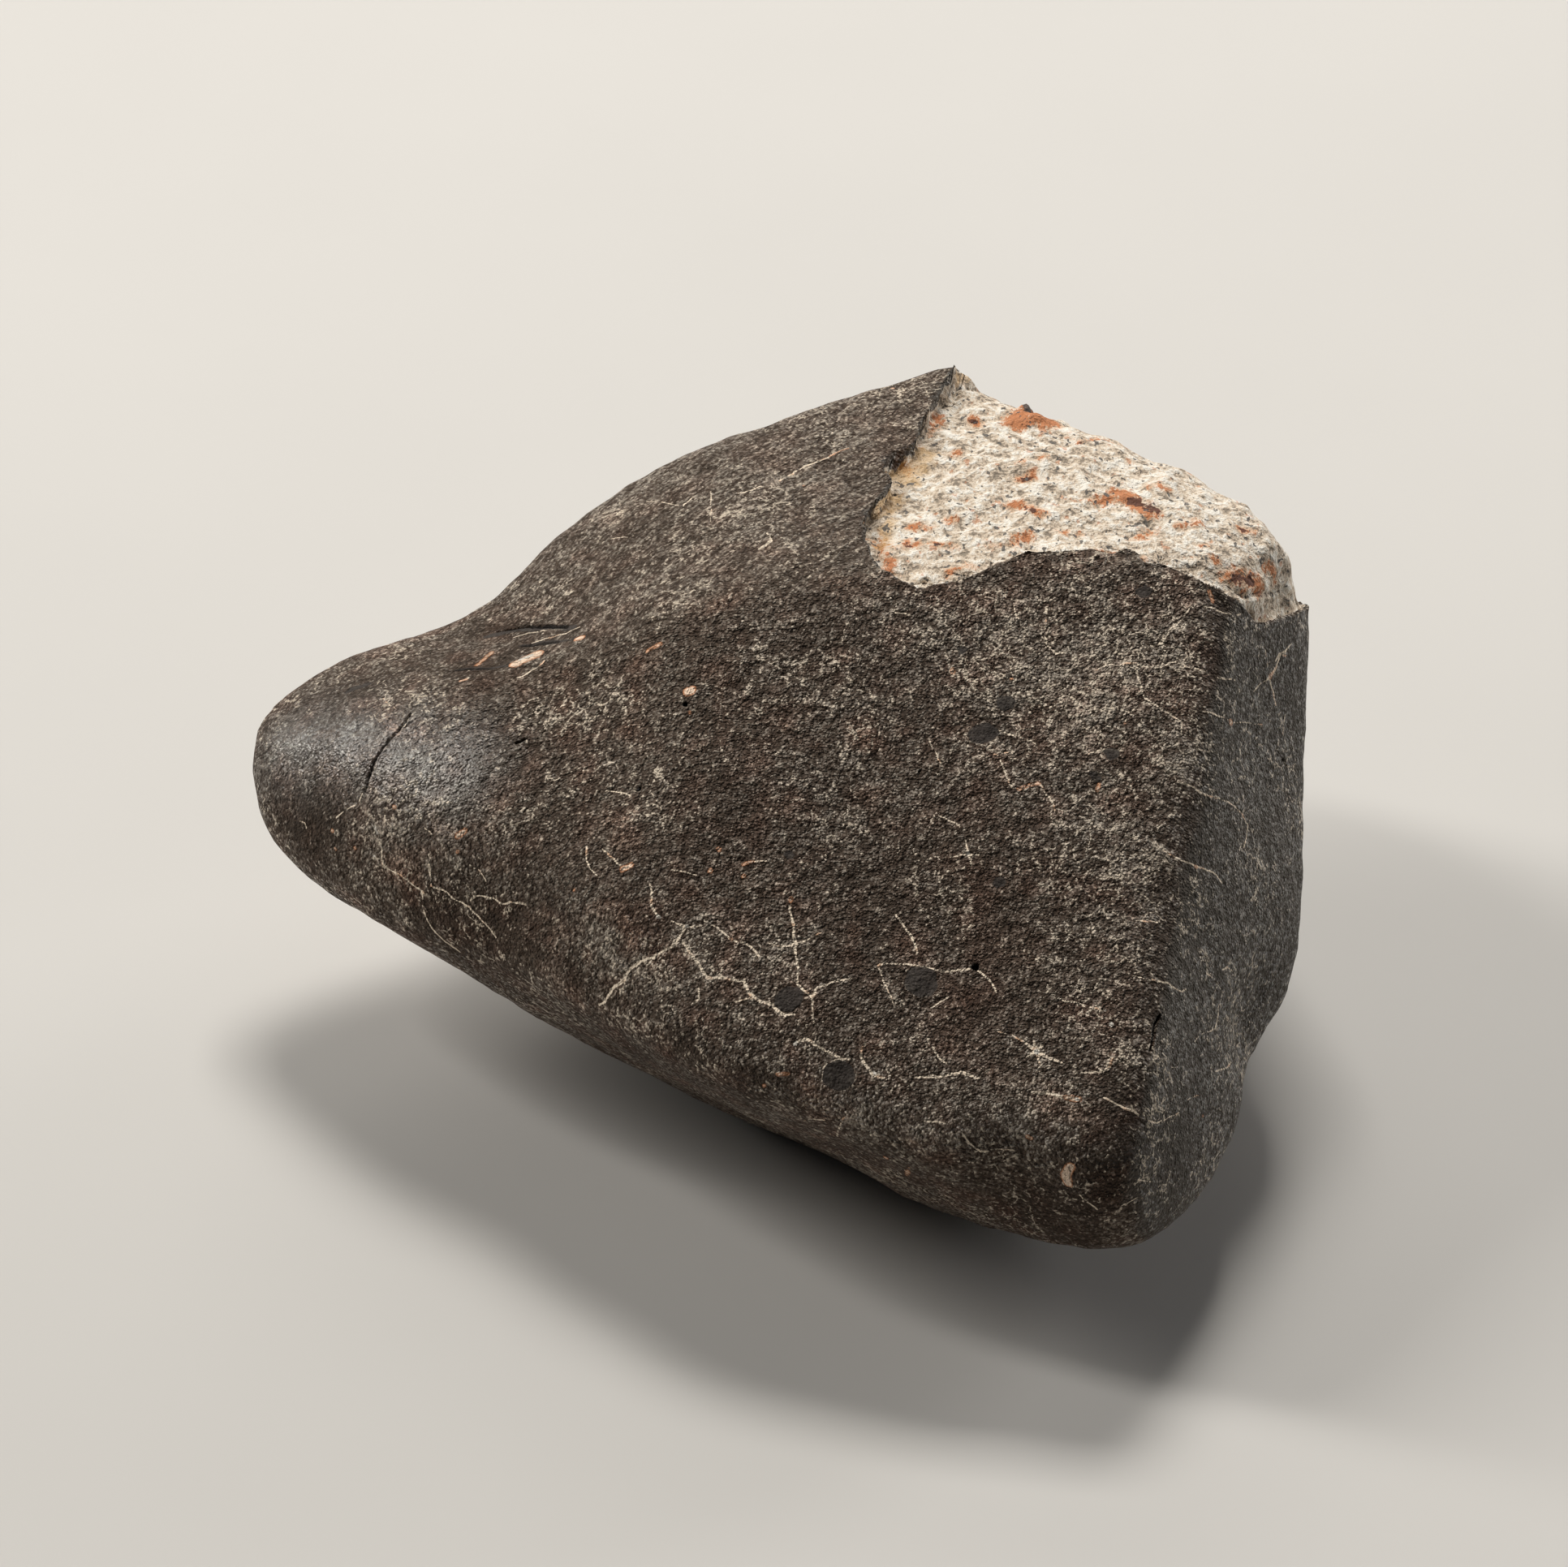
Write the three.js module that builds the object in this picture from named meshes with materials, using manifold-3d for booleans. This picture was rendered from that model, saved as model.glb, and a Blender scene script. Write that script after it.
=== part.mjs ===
// A chondrite meteorite: one rounded, many-sided stone under a thin fusion crust, with a blunt
// nose at one end and one corner broken away, where the pale inside shows below the crust's edge.
// Millimetres, +Z up. +X runs from the nose to the thick end, and the front slope faces -Y.
// The origin is under the middle of the stone, on the surface that it rests on.

import * as THREE from 'three';
import { mergeVertices } from 'three/addons/utils/BufferGeometryUtils.js';
import Module from 'manifold-3d';

// ---------------------------------------------------------------- driving dimensions

// The point inside the stone that all its facets are measured from.
const HEART = new THREE.Vector3(1, 1, 14);

// Each facet is a plane: bearing is where it faces, in degrees from +X towards +Y, climb is how
// far its outward direction rises above the level, and distance is from the heart, in mm.
const FACETS = [
  { name: 'front slope', bearing: 270, climb: 63, distance: 10.9 },
  { name: 'front slope towards the nose', bearing: 228, climb: 59, distance: 12.3 },
  { name: 'back of the top, left', bearing: 162, climb: 68, distance: 14.0 },
  { name: 'back of the top, right', bearing: 141, climb: 79, distance: 13.6 },
  { name: 'top of the nose', bearing: 166, climb: 58, distance: 16.5 },
  { name: 'broken top', bearing: 68, climb: 81, distance: 17.0 },
  { name: 'broken back, left', bearing: 60, climb: 30, distance: 29.0 },
  { name: 'broken back, right', bearing: 38, climb: 26, distance: 30.5 },
  { name: 'right side', bearing: 340.5, climb: 25, distance: 23.4 },
  { name: 'right back corner', bearing: 14, climb: -11.5, distance: 27.0 },
  { name: 'far right side', bearing: 50, climb: -6, distance: 30.5 },
  { name: 'back', bearing: 84, climb: -6, distance: 28.3 },
  { name: 'back left side', bearing: 116, climb: 8, distance: 23.2 },
  { name: 'behind the nose', bearing: 128, climb: 12, distance: 23.5 },
  { name: 'nose end', bearing: 184, climb: 4, distance: 30.4 },
  { name: 'nose front', bearing: 224, climb: 24, distance: 18.9 },
  { name: 'under the nose front', bearing: 226, climb: -30, distance: 20.3 },
  { name: 'lower front slope, left', bearing: 236, climb: 38, distance: 15.5 },
  { name: 'lower front slope, right', bearing: 262, climb: 45, distance: 15.6 },
  { name: 'front rim', bearing: 241, climb: -40, distance: 16.4 },
  { name: 'front rim, right part', bearing: 256, climb: -22, distance: 21.6 },
  { name: 'front face', bearing: 267, climb: 2, distance: 27.0 },
  { name: 'front corner', bearing: 321, climb: -2, distance: 31.8 },
  { name: 'foot of the right side', bearing: 343, climb: -14, distance: 29.6 },
  { name: 'underside of the nose', bearing: 190, climb: -68, distance: 15.0 },
  { name: 'underside, front', bearing: 240, climb: -49, distance: 16.2 },
  { name: 'underside, front right', bearing: 308, climb: -70, distance: 18.8 },
  { name: 'underside, right', bearing: 6, climb: -61, distance: 18.8 },
  { name: 'underside, back', bearing: 84, climb: -50, distance: 17.6 },
  { name: 'underside, back left', bearing: 138, climb: -50, distance: 16.8 },
];

// How tightly the facets meet: a high number gives crisp edges, a low one a rounder pebble.
const EDGE_SHARPNESS = 26;

// Thumbprint hollows in the crust: where the middle is, how deep it is and how wide it spreads.
// A swelling is a hollow of negative depth.
const HOLLOWS = [
  { name: 'saddle behind the nose', at: [-19, 12, 18], depth: 2.9, spread: 5.5 },
  { name: 'neck above the nose', at: [-14, 3, 21], depth: 1.6, spread: 4.5 },
  { name: 'neck at the rim', at: [-15.5, -12, 14], depth: 1.4, spread: 4.0 },
  { name: 'second dip of the rim', at: [-9.3, -17.5, 13.5], depth: 0.9, spread: 3.0 },
  { name: 'pocket in the front corner', at: [14.3, -25, 11.0], depth: 1.5, spread: 2.2 },
  { name: 'scoop in the right side', at: [27.4, -9.0, 9.8], depth: 1.7, spread: 2.4 },
  { name: 'horn beside the break', at: [7.4, 27.5, 25.5], depth: -1.3, spread: 1.9 },
  { name: 'thumbprint in the back', at: [-4, 26, 13], depth: 1.3, spread: 4.5 },
  { name: 'thumbprint low behind the nose', at: [-18, 9, 8], depth: 1.0, spread: 4.0 },
  { name: 'thumbprint under the nose', at: [-17, -1, 5], depth: 1.1, spread: 4.5 },
  { name: 'thumbprint at the back right', at: [26, 13, 9], depth: 1.2, spread: 4.5 },
];

// The crust swells and sinks a little everywhere, over this distance and by this much each way.
const SWELL_LENGTH = 11;
const SWELL_HEIGHT = 0.16;

// The broken corner: its floor is lumpy, and lies deepest below the crust at its left end. It
// stays at least the margin below the crust everywhere.
const LEDGE_LEFT = { x: 4, depth: 0.9 };
const LEDGE_RIGHT = { x: 26, depth: 0.35 };
const CRUST_MARGIN = 0.15;
const LUMP_LENGTH = 3.4;
const LUMP_HEIGHT = 0.22;

// The crust's broken edge seen from above, as X and Y, from the horn round by the front to the
// right side, and then clear of the stone.
const BREAK_EDGE_ABOVE = [
  [8.0, 29.5], [7.3, 25.5], [6.0, 20.5], [5.7, 18.0], [4.2, 16.6], [4.8, 14.6], [3.4, 11.3],
  [4.2, 6.0], [6.1, 4.3], [9.7, 5.6], [11.4, 7.0], [14.4, 7.6], [17.9, 8.0], [19.4, 6.9],
  [23.0, 5.9], [24.6, 6.3], [26.5, 8.8], [32, 13], [34, 36], [10, 38],
];

// Its lower edge seen from the back right, facing this bearing: the place along the level, to the
// left as seen from there, and the height.
const BREAK_BACK_BEARING = 45;
const BREAK_EDGE_BEHIND = [
  [-12.8, 26.0], [-10.8, 22.8], [-7.5, 20.6], [-3.0, 19.4], [2.0, 18.8], [6.0, 20.0],
  [10.0, 21.4], [13.0, 23.4], [16.0, 26.5], [20, 45], [-20, 45],
];
// Both edges are drawn in steps of about this length, with small scallops along them.
const BREAK_EDGE_STEP = 1.0;
const SCALLOP_LENGTH = 2.6;
const SCALLOP_DEPTH = 0.25;

// The opening in the crust is cut between these heights, and this far out from the origin.
const WINDOW_BOTTOM = 14;
const WINDOW_TOP = 40;
const WINDOW_REACH = 60;

// Triangles: a ball that is wrapped round the stone has 20 x (detail + 1) squared of them.
const CRUST_DETAIL = 17;
const BREAK_DETAIL = 23;
const BALL_SHAPE = new THREE.Vector3(28, 27, 15);

const CRUST_COLOR = 0x4a443d;

// ---------------------------------------------------------------- the stone's surface

function facing(bearing, climb) {
  const turn = THREE.MathUtils.degToRad(bearing);
  const rise = THREE.MathUtils.degToRad(climb);
  return new THREE.Vector3(
    Math.cos(turn) * Math.cos(rise),
    Math.sin(turn) * Math.cos(rise),
    Math.sin(rise),
  );
}

const planes = FACETS.map(({ bearing, climb, distance }) => ({
  normal: facing(bearing, climb),
  distance,
}));

const hollows = HOLLOWS.map(({ at, depth, spread }) => ({
  middle: new THREE.Vector3(...at),
  depth,
  spread,
}));

// The facets blend where they meet: their pulls add up as powers, so the nearest one wins.
function reachOfFacets(direction, sunk) {
  let pull = 0;
  for (const { normal, distance } of planes) {
    const toward = normal.dot(direction);
    if (toward > 0) {
      pull += (toward / (distance - sunk)) ** EDGE_SHARPNESS;
    }
  }
  return pull ** (-1 / EDGE_SHARPNESS);
}

function depthOfHollows(point) {
  let depth = 0;
  for (const hollow of hollows) {
    const away = point.distanceTo(hollow.middle);
    depth += hollow.depth * Math.exp(-(away ** 2) / (2 * hollow.spread ** 2));
  }
  return depth;
}

// A smooth unevenness between about -1 and 1, whose bumps are about one length across.
function unevenness(point, length) {
  const turn = (2 * Math.PI) / length;
  const { x, y, z } = point;
  const one = Math.sin(turn * (0.8 * x + 0.5 * y + 0.3 * z) + 1.1);
  const two = Math.sin(turn * (0.4 * y - 0.7 * x + 0.5 * z) + 2.3);
  const three = Math.sin(turn * (0.9 * y - 0.2 * x - 0.6 * z) + 0.4);
  return (one + two + three) / 2;
}

function crustPoint(direction) {
  let reach = reachOfFacets(direction, 0);
  const first = HEART.clone().addScaledVector(direction, reach);
  reach -= depthOfHollows(first);
  reach += SWELL_HEIGHT * unevenness(first, SWELL_LENGTH);
  return HEART.clone().addScaledVector(direction, reach);
}

function ledgeDepth(x) {
  const within = THREE.MathUtils.clamp(x, LEDGE_LEFT.x, LEDGE_RIGHT.x);
  return THREE.MathUtils.mapLinear(
    within, LEDGE_LEFT.x, LEDGE_RIGHT.x, LEDGE_LEFT.depth, LEDGE_RIGHT.depth);
}

// The inside lies everywhere below the crust, so its base is lifted clear of the resting spot.
function brokenPoint(direction) {
  const outer = crustPoint(direction);
  const depth = ledgeDepth(outer.x);
  let reach = reachOfFacets(direction, depth);
  const first = HEART.clone().addScaledVector(direction, reach);
  reach += LUMP_HEIGHT * unevenness(first, LUMP_LENGTH);
  reach = Math.min(reach, HEART.distanceTo(outer) - CRUST_MARGIN);
  const point = HEART.clone().addScaledVector(direction, reach);
  point.z = Math.max(point.z, CRUST_MARGIN);
  return point;
}

// ---------------------------------------------------------------- solids

const wasm = await Module();
wasm.setup();

function toSolid(geometry) {
  const bare = geometry.clone();
  bare.deleteAttribute('normal');
  bare.deleteAttribute('uv');
  const merged = mergeVertices(bare);
  const mesh = new wasm.Mesh({
    numProp: 3,
    vertProperties: new Float32Array(merged.getAttribute('position').array),
    triVerts: new Uint32Array(merged.getIndex().array),
  });
  return new wasm.Manifold(mesh);
}

function toGeometry(solid) {
  const mesh = solid.getMesh();
  const geometry = new THREE.BufferGeometry();
  geometry.setAttribute('position', new THREE.BufferAttribute(mesh.vertProperties, 3));
  geometry.setIndex(new THREE.BufferAttribute(mesh.triVerts, 1));
  geometry.computeVertexNormals();
  return geometry;
}

// A ball wrapped round the stone: each of its points is moved out or in to the surface.
function wrappedBall(detail, pointOf) {
  const ball = new THREE.IcosahedronGeometry(1, detail);
  const places = ball.getAttribute('position');
  const direction = new THREE.Vector3();
  for (let i = 0; i < places.count; i += 1) {
    direction.fromBufferAttribute(places, i).multiply(BALL_SHAPE).normalize();
    const point = pointOf(direction);
    places.setXYZ(i, point.x, point.y, Math.max(point.z, 0));
  }
  return toSolid(ball);
}

// A broken edge is a smooth curve with scallops bitten into it by the crust's small bubbles.
function brokenEdge(places) {
  const corners = places.map(([across, up]) => new THREE.Vector3(across, up, 0));
  const curve = new THREE.CatmullRomCurve3(corners, true, 'centripetal');
  const length = curve.getLength();
  const steps = Math.round(length / BREAK_EDGE_STEP);
  const outline = [];
  for (let i = 0; i < steps; i += 1) {
    const along = i / steps;
    const point = curve.getPointAt(along);
    const ahead = curve.getTangentAt(along);
    const bite = SCALLOP_DEPTH * Math.abs(Math.sin((Math.PI * along * length) / SCALLOP_LENGTH));
    outline.push(new THREE.Vector2(point.x + ahead.y * bite, point.y - ahead.x * bite));
  }
  return new THREE.Shape(outline);
}

// What is broken away lies inside both edges, the one seen from above and the one from behind.
function breakWindow() {
  const above = new THREE.ExtrudeGeometry(brokenEdge(BREAK_EDGE_ABOVE), {
    depth: WINDOW_TOP - WINDOW_BOTTOM,
    bevelEnabled: false,
  });
  above.translate(0, 0, WINDOW_BOTTOM);
  const behind = new THREE.ExtrudeGeometry(brokenEdge(BREAK_EDGE_BEHIND), {
    depth: WINDOW_REACH,
    bevelEnabled: false,
  });
  behind.rotateX(Math.PI / 2);
  behind.rotateZ(THREE.MathUtils.degToRad(BREAK_BACK_BEARING + 90));
  return toSolid(above).intersect(toSolid(behind));
}

// The crust is opened along the broken edge, and the sunken, lumpy inside fills the opening.
function brokenStone() {
  const crusted = wrappedBall(CRUST_DETAIL, crustPoint);
  const inside = wrappedBall(BREAK_DETAIL, brokenPoint);
  const window = breakWindow();
  return crusted.subtract(window).add(inside);
}

// ---------------------------------------------------------------- the part

const stone = new THREE.Mesh(
  toGeometry(brokenStone()),
  new THREE.MeshStandardMaterial({ color: CRUST_COLOR, roughness: 0.8, metalness: 0 }),
);
stone.name = 'meteorite_stone';

// The origin goes under the middle of the stone's own box.
stone.geometry.computeBoundingBox();
const middle = stone.geometry.boundingBox.getCenter(new THREE.Vector3());
stone.position.set(-middle.x, -middle.y, 0);

const part = new THREE.Group();
part.add(stone);

export default part;
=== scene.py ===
"""A chondrite meteorite: a dark fusion crust, broken open at one corner to its pale inside.

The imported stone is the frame. One finer mesh is wrapped round it, cut smallest where the crust
ends and along the marks. It carries the relief, the crust's broken lip and the stone's marks.
"""

import math

import bmesh
import bpy
import numpy as np
from mathutils import Matrix, Vector, noise
from mathutils.bvhtree import BVHTree
from mathutils.kdtree import KDTree


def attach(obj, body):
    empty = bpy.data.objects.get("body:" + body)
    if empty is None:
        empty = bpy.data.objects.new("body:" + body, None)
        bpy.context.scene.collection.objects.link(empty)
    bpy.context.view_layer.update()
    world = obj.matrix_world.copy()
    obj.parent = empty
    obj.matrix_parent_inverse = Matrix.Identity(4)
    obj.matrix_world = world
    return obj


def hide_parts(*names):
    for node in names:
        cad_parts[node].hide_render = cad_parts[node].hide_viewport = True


MM = 0.001

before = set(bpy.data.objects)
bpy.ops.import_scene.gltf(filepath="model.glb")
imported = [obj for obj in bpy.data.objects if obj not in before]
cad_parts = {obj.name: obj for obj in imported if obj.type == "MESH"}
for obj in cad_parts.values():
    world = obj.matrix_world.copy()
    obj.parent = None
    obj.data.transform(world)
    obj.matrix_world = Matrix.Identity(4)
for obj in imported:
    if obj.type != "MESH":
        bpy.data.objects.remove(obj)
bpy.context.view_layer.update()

# ------------ the view

# The photograph is this large, in pixels, and pixel places below are in it.
PHOTO_WIDTH = 1932
PHOTO_HEIGHT = 1931

# The camera stands in front of the stone and above it, and leans a little to one side.
CAMERA_PLACE = Vector((0.21, -439.05, 354.7)) * MM
CAMERA_DIP = math.radians(37.7)
CAMERA_ROLL = math.radians(5.0)
FOCAL_PIXELS = 12760
SENSOR_WIDTH = 36

# It looks along +Y, dips, and then rolls about its own line of sight.
CAMERA_TURN = (
    Matrix.Rotation(math.pi / 2 - CAMERA_DIP, 3, "X") @ Matrix.Rotation(CAMERA_ROLL, 3, "Z")
)


def make_camera():
    data = bpy.data.cameras.new("camera")
    data.sensor_width = SENSOR_WIDTH
    data.lens = FOCAL_PIXELS * SENSOR_WIDTH / PHOTO_WIDTH
    data.clip_start = 10 * MM
    data.clip_end = 10
    camera = bpy.data.objects.new("camera", data)
    camera.matrix_world = CAMERA_TURN.to_4x4()
    camera.location = CAMERA_PLACE
    bpy.context.scene.collection.objects.link(camera)
    bpy.context.scene.camera = camera


def sight_line(x, y):
    """The direction from the camera through a pixel of the photograph."""
    across = x - PHOTO_WIDTH / 2
    down = y - PHOTO_HEIGHT / 2
    return (CAMERA_TURN @ Vector((across, -down, -FOCAL_PIXELS))).normalized()


# ------------ marks on the stone

# Each mark has half its width in mm, then its line or its one point in pixels of the photograph.
# Thin pale veins in the crust:
VEINS = [
    (0.05, (850, 1171), (869, 1199)), (0.05, (852, 1141), (864, 1142)),
    (0.06, (828, 1134), (847, 1140), (836, 1154), (828, 1166), (813, 1173), (802, 1181)),
    (0.09, (802, 1181), (789, 1185), (774, 1196), (766, 1211), (753, 1219)),
    (0.06, (753, 1219), (746, 1235), (738, 1240)),
    (0.06, (841, 1162), (851, 1175), (862, 1192), (869, 1203)),
    (0.07, (869, 1207), (886, 1205), (905, 1208), (917, 1207), (922, 1222), (935, 1233)),
    (0.09, (935, 1233), (950, 1237), (963, 1250), (980, 1252)), (0.05, (886, 1205), (889, 1192)),
    (0.06, (877, 1139), (890, 1149), (899, 1158), (907, 1160)),
    (0.07, (914, 1162), (922, 1163), (931, 1171), (935, 1181)),
    (0.05, (946, 1163), (959, 1166), (979, 1165), (1011, 1150)),
    (0.07, (972, 1116), (979, 1148), (979, 1171), (985, 1195), (981, 1214)),
    (0.06, (981, 1214), (1000, 1229), (1002, 1261)), (0.05, (905, 1234), (926, 1230)),
    (0.06, (860, 1218), (862, 1231), (851, 1237)),
    (0.06, (1103, 1126), (1126, 1159), (1131, 1176)),
    (0.06, (1004, 1229), (1004, 1219), (1030, 1208), (1051, 1206)),
    (0.07, (1081, 1186), (1124, 1189), (1156, 1197), (1193, 1195)),
    (0.05, (1081, 1186), (1088, 1208), (1103, 1240)),
    (0.05, (1206, 1197), (1223, 1210), (1229, 1227)), (0.05, (1169, 1229), (1146, 1242)),
    (0.08, (979, 1286), (994, 1280), (1007, 1289)),
    (0.06, (1007, 1289), (1023, 1298), (1033, 1303), (1049, 1306)),
    (0.07, (1066, 1283), (1059, 1303), (1069, 1316), (1076, 1327), (1092, 1329)),
    (0.05, (1012, 1343), (1012, 1322), (1017, 1312), (1039, 1306)),
    (0.06, (1148, 1289), (1158, 1306), (1168, 1312)),
    (0.08, (1128, 1327), (1158, 1327), (1184, 1321), (1206, 1330), (1221, 1317)),
    (0.05, (1227, 1272), (1249, 1276)), (0.08, (1249, 1276), (1278, 1296), (1311, 1311)),
    (0.04, (1279, 1296), (1281, 1332)), (0.04, (1278, 1296), (1292, 1281)),
    (0.04, (1262, 1303), (1278, 1296), (1274, 1278)),
    (0.08, (1326, 1324), (1351, 1321), (1367, 1316), (1373, 1304)),
    (0.11, (1268, 1345), (1302, 1350), (1316, 1353)),
    (0.08, (1360, 1352), (1381, 1363), (1398, 1370), (1408, 1380), (1429, 1385)),
    (0.06, (1429, 1385), (1437, 1378), (1454, 1371)), (0.06, (1138, 1381), (1171, 1383)),
    (0.06, (1184, 1395), (1197, 1411), (1207, 1421), (1227, 1416), (1253, 1418)),
    (0.05, (990, 1381), (1017, 1381)), (0.10, (1040, 1377), (1033, 1392), (1030, 1404)),
    (0.06, (1178, 1447), (1171, 1467)), (0.06, (1307, 1233), (1325, 1235), (1355, 1243)),
    (0.06, (1394, 1201), (1409, 1204), (1424, 1209), (1440, 1212), (1457, 1223), (1463, 1219)),
    (0.05, (1394, 1133), (1417, 1135), (1429, 1137)),
    (0.05, (1423, 1037), (1437, 1051), (1463, 1063)),
    (0.07, (1463, 1063), (1480, 1069), (1494, 1074), (1506, 1089)),
    (0.05, (1431, 1294), (1440, 1311), (1457, 1317)),
    (0.05, (1472, 1283), (1483, 1273), (1496, 1268), (1500, 1255), (1503, 1238)),
    (0.07, (1496, 1320), (1509, 1317), (1518, 1307)), (0.06, (1521, 1292), (1528, 1284)),
    (0.06, (1463, 1355), (1483, 1350)), (0.05, (1505, 1196), (1513, 1191), (1519, 1201)),
    (0.05, (1486, 1197), (1493, 1205)), (0.06, (1329, 1475), (1345, 1485), (1355, 1493)),
    (0.05, (1381, 1486), (1394, 1481), (1403, 1475)), (0.05, (1398, 1452), (1421, 1457)),
    (0.06, (1100, 754), (1123, 757)), (0.08, (1289, 746), (1289, 774), (1287, 791)),
    (0.05, (1287, 791), (1300, 807), (1311, 806)), (0.05, (1249, 746), (1251, 760), (1260, 770)),
    (0.05, (1349, 826), (1354, 820), (1397, 816), (1423, 823)),
    (0.06, (1400, 823), (1406, 849), (1409, 860), (1434, 875), (1457, 889), (1457, 914)),
    (0.05, (1409, 860), (1389, 880), (1386, 891)),
    (0.05, (1466, 747), (1489, 749), (1509, 756), (1529, 760)),
    (0.05, (1466, 747), (1457, 763), (1437, 780), (1426, 797)),
    (0.05, (1429, 823), (1446, 813), (1466, 821)),
    (0.07, (1466, 821), (1489, 829), (1509, 836), (1523, 837)),
    (0.06, (1469, 876), (1489, 877), (1514, 887)), (0.05, (1520, 891), (1540, 891), (1554, 893)),
    (0.06, (1449, 963), (1463, 966), (1483, 979), (1500, 983), (1517, 990), (1531, 1003)),
    (0.05, (1531, 1003), (1537, 1014), (1536, 1029), (1533, 1046)),
    (0.05, (1571, 814), (1577, 806), (1586, 811)),
    (0.06, (1592, 793), (1579, 806), (1574, 820), (1562, 834), (1568, 851), (1571, 870)),
    (0.04, (1556, 795), (1559, 811), (1563, 828)), (0.04, (1544, 852), (1562, 836)),
    (0.04, (1585, 880), (1580, 905), (1584, 925)), (0.05, (1223, 929), (1243, 926)),
    (0.06, (1230, 931), (1237, 951), (1247, 971)), (0.05, (1281, 964), (1297, 989), (1304, 1009)),
    (0.06, (1340, 931), (1357, 922), (1385, 926)), (0.05, (1229, 900), (1271, 913), (1286, 924)),
    (0.05, (1143, 911), (1161, 943)), (0.06, (1156, 1004), (1183, 1017)),
    (0.04, (1169, 1057), (1193, 1052), (1209, 1054)),
    (0.04, (1189, 1034), (1193, 1052), (1197, 1069)),
    (0.05, (742, 1046), (753, 1055), (764, 1066)),
    (0.05, (723, 1042), (724, 1061), (729, 1073), (736, 1079)),
    (0.05, (800, 1087), (803, 1100), (803, 1117), (811, 1130)),
    (0.05, (828, 1072), (841, 1074), (858, 1077)), (0.06, (926, 1062), (946, 1060)),
    (0.05, (747, 974), (776, 980)),
    (0.05, (529, 1063), (529, 1091), (546, 1097), (563, 1110), (580, 1119), (594, 1133)),
    (0.05, (594, 1133), (604, 1147), (611, 1158)),
    (0.05, (496, 1081), (511, 1093), (523, 1100), (520, 1109), (523, 1126), (531, 1143)),
    (0.05, (531, 1143), (549, 1160), (569, 1174)),
    (0.06, (580, 1109), (586, 1104), (609, 1106), (620, 1116), (629, 1111), (649, 1116)),
    (0.06, (449, 974), (440, 991), (426, 997), (414, 1008)), (0.05, (506, 880), (500, 894)),
    (0.05, (471, 1043), (471, 1069), (494, 1077)), (0.04, (370, 1011), (377, 1012), (377, 1029)),
    (0.04, (589, 1071), (600, 1086)), (0.05, (523, 1020), (534, 1031)),
    (0.05, (471, 860), (486, 874)),
    (0.09, (1046, 552), (1024, 562), (1004, 570), (980, 580), (960, 592)),
    (0.06, (952, 598), (936, 600), (916, 608), (896, 608)),
    (0.05, (876, 600), (876, 620), (876, 644)), (0.05, (860, 608), (844, 620), (842, 632)),
    (0.05, (780, 618), (812, 618), (836, 622)), (0.05, (752, 664), (780, 660)),
    (0.10, (936, 676), (952, 666), (946, 656)),
    (0.06, (628, 838), (645, 832), (660, 824), (672, 813)),
    (0.05, (632, 786), (650, 781), (668, 777), (692, 774)),
    (0.05, (655, 792), (690, 782), (716, 772)), (0.09, (566, 838), (578, 834)),
]

# Spots and flecks where the crust is gone or rusty, orange or pinkish:
ORANGE = [
    (0.32, (848, 851), (852, 850)), (0.14, (850, 879)), (0.16, (797, 803), (806, 797), (813, 793)),
    (0.17, (1173, 825), (1175, 829)), (0.17, (1247, 837)), (0.16, (1492, 730), (1495, 739)),
    (0.12, (1256, 973), (1267, 967), (1281, 964)), (0.17, (1353, 965), (1352, 975)),
    (0.16, (1386, 891)), (0.22, (1517, 890)), (0.14, (1474, 1068)),
    (0.24, (1316, 1353), (1330, 1355)), (0.30, (1319, 1439), (1311, 1449), (1315, 1458)),
    (0.16, (1266, 1400), (1271, 1403)), (0.16, (1483, 1376)), (0.20, (886, 1046)),
    (0.18, (875, 1073)), (0.10, (914, 1065), (926, 1062)), (0.16, (916, 1080)),
    (0.20, (767, 1073), (778, 1066)), (0.14, (708, 1097)), (0.22, (564, 1030), (573, 1024)),
    (0.14, (564, 1050)), (0.20, (486, 994)), (0.14, (409, 1024)), (0.14, (414, 1046)),
    (0.14, (437, 1046)), (0.12, (1024, 562), (1046, 552)), (0.14, (900, 1158)),
    (0.16, (975, 1108)), (0.10, (957, 1324), (972, 1324)), (0.15, (941, 1339)),
    (0.20, (1092, 1427)), (0.16, (1119, 1440), (1117, 1449)),
    (0.40, (635, 818), (647, 812), (662, 806)), (0.16, (709, 788), (719, 785)),
    (0.18, (588, 818), (598, 811), (606, 804)), (0.16, (566, 838), (574, 836)),
    (0.16, (1564, 834)), (0.20, (1100, 478)), (0.14, (992, 598)),
]

# White grains and pale patches:
WHITE = [
    (0.14, (1363, 1245)), (0.24, (1370, 1262)), (0.16, (1278, 1296)), (0.15, (1193, 1052)),
    (0.13, (1446, 917)), (0.18, (1328, 1355)), (0.20, (811, 1130)), (0.16, (847, 1140)),
    (0.24, (979, 1286)), (0.13, (1077, 1322)), (0.10, (1409, 859)), (0.20, (640, 813), (655, 808)),
    (0.12, (462, 1018), (464, 1028)), (0.12, (460, 1055)),
]

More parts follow.
